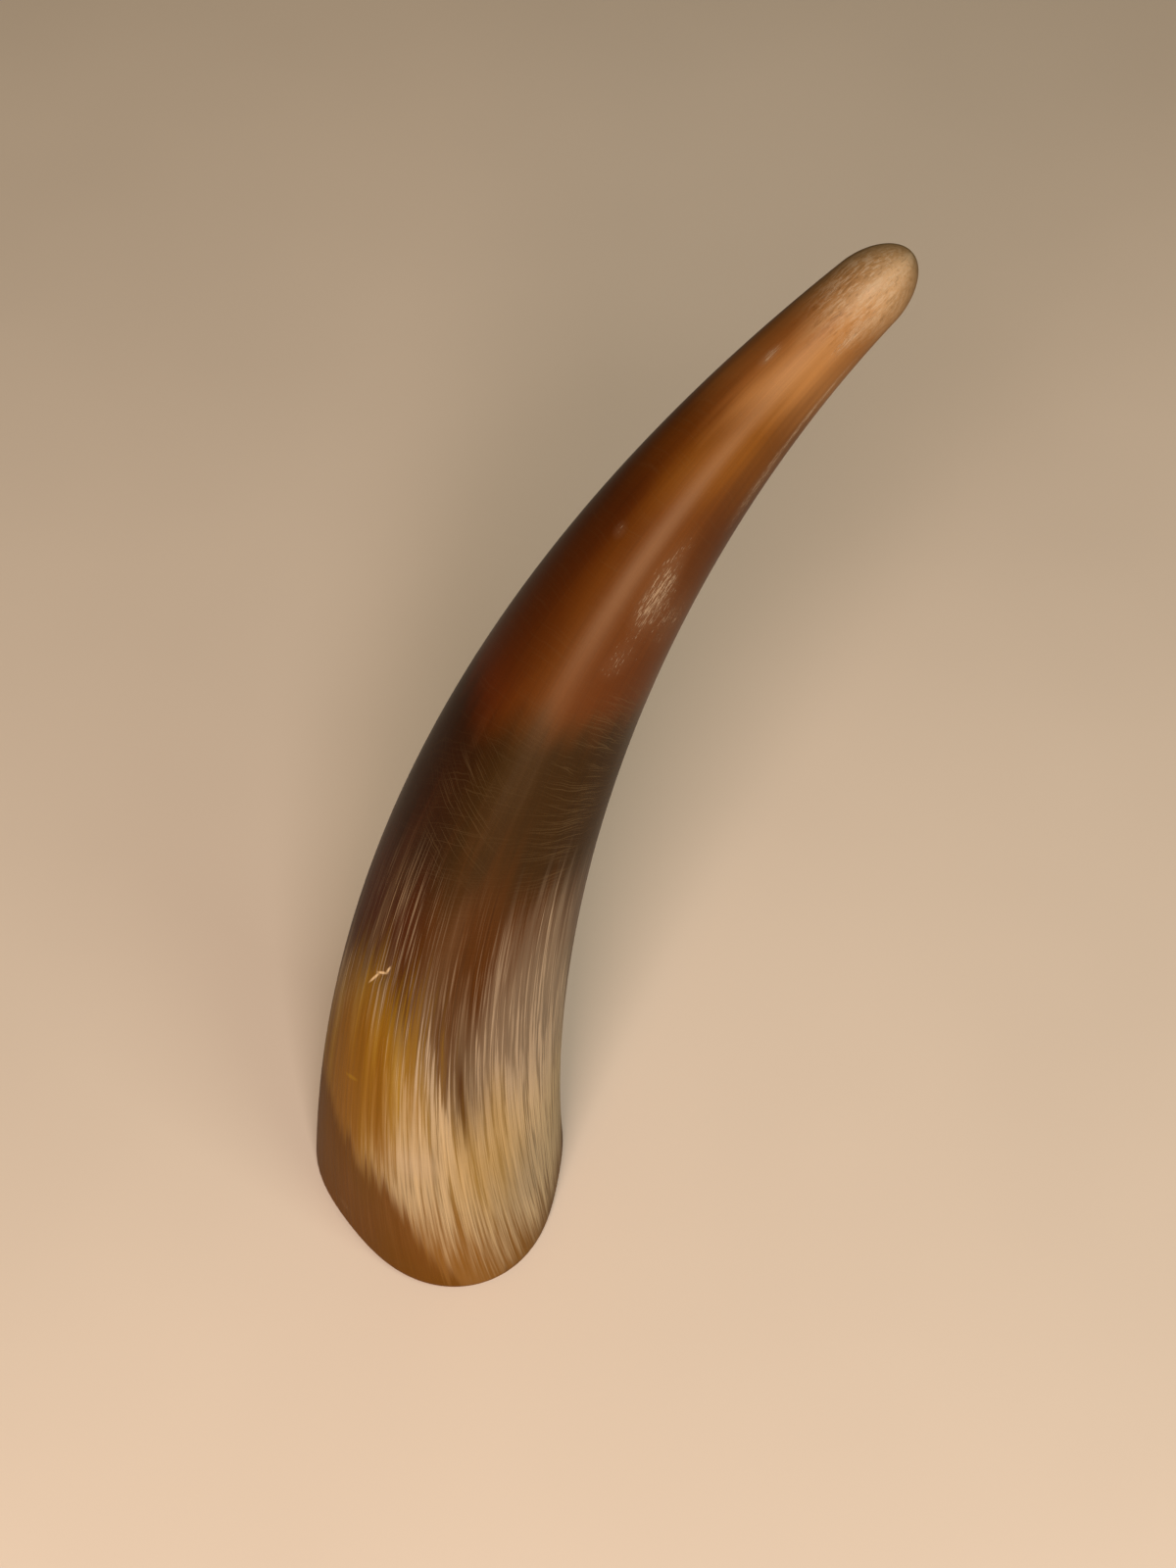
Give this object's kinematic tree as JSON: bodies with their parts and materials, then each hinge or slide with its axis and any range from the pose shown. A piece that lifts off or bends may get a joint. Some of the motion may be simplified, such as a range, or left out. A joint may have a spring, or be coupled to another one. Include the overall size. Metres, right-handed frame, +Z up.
{
  "type": "buffalo horn",
  "caption": "Polished water buffalo horn standing on its sawn flat base, tapering and curving over to a blunt domed tip",
  "frame": {"origin": "The middle of the flat sawn base, on the surface that the horn stands on.", "axes": "+Z is up, along the horn's height. +X is the way the horn leans. -Y is the side with the narrow end of the egg-shaped base, which the tip turns slightly towards."},
  "size_m": [0.1039, 0.0534, 0.2101],
  "materials": {
    "horn": "natural keratin horn, hand sanded and polished to a satin sheen, amber and dark brown with pale lengthwise fibres at the base"
  },
  "bodies": {
    "root": {"horn": "horn"}
  },
  "joints": []
}
